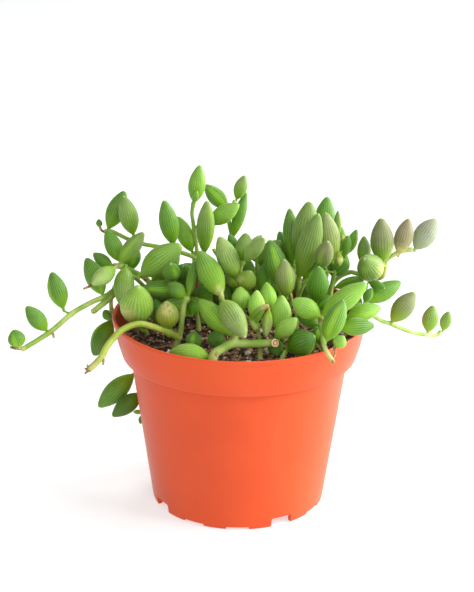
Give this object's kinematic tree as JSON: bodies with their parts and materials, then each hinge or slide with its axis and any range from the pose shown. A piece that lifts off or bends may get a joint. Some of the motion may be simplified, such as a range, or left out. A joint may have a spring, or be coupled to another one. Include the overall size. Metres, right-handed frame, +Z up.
{
  "type": "potted string of watermelons",
  "caption": "Young string-of-watermelons plant with plump striped leaves on short trailing stems, in a round terracotta-coloured plastic nursery pot.",
  "frame": {"origin": "on the pot's axis, on the surface that the pot stands on", "axes": "+Z up along the pot's axis, -Y towards the viewer of the picture, +X to the viewer's right"},
  "size_m": [0.1997, 0.114, 0.1493],
  "materials": {
    "pot_plastic": "satin",
    "potting_mix": "matte",
    "foliage": "satin"
  },
  "bodies": {
    "root": {"pot": "pot_plastic", "potting_mix": "potting_mix", "left_trail_string": "foliage", "left_low_string": "foliage", "left_round_string": "foliage", "upper_left_string": "foliage", "tall_left_string": "foliage", "centre_fork_string": "foliage", "top_middle_string": "foliage", "centre_string": "foliage", "front_cut_string": "foliage", "front_sprout_string": "foliage", "front_middle_string": "foliage", "front_right_string": "foliage", "right_bright_string": "foliage", "right_tall_string": "foliage", "right_purple_string": "foliage", "right_dark_string": "foliage", "right_front_string": "foliage", "low_right_string": "foliage", "right_upper_string": "foliage", "right_lower_string": "foliage", "front_left_string": "foliage", "hanging_string": "foliage", "far_string_1": "foliage", "far_string_2": "foliage", "far_string_3": "foliage", "far_string_4": "foliage", "far_string_5": "foliage", "far_string_6": "foliage", "far_string_7": "foliage", "far_string_8": "foliage", "far_string_9": "foliage", "far_string_10": "foliage", "far_string_11": "foliage", "far_string_12": "foliage"}
  },
  "joints": []
}
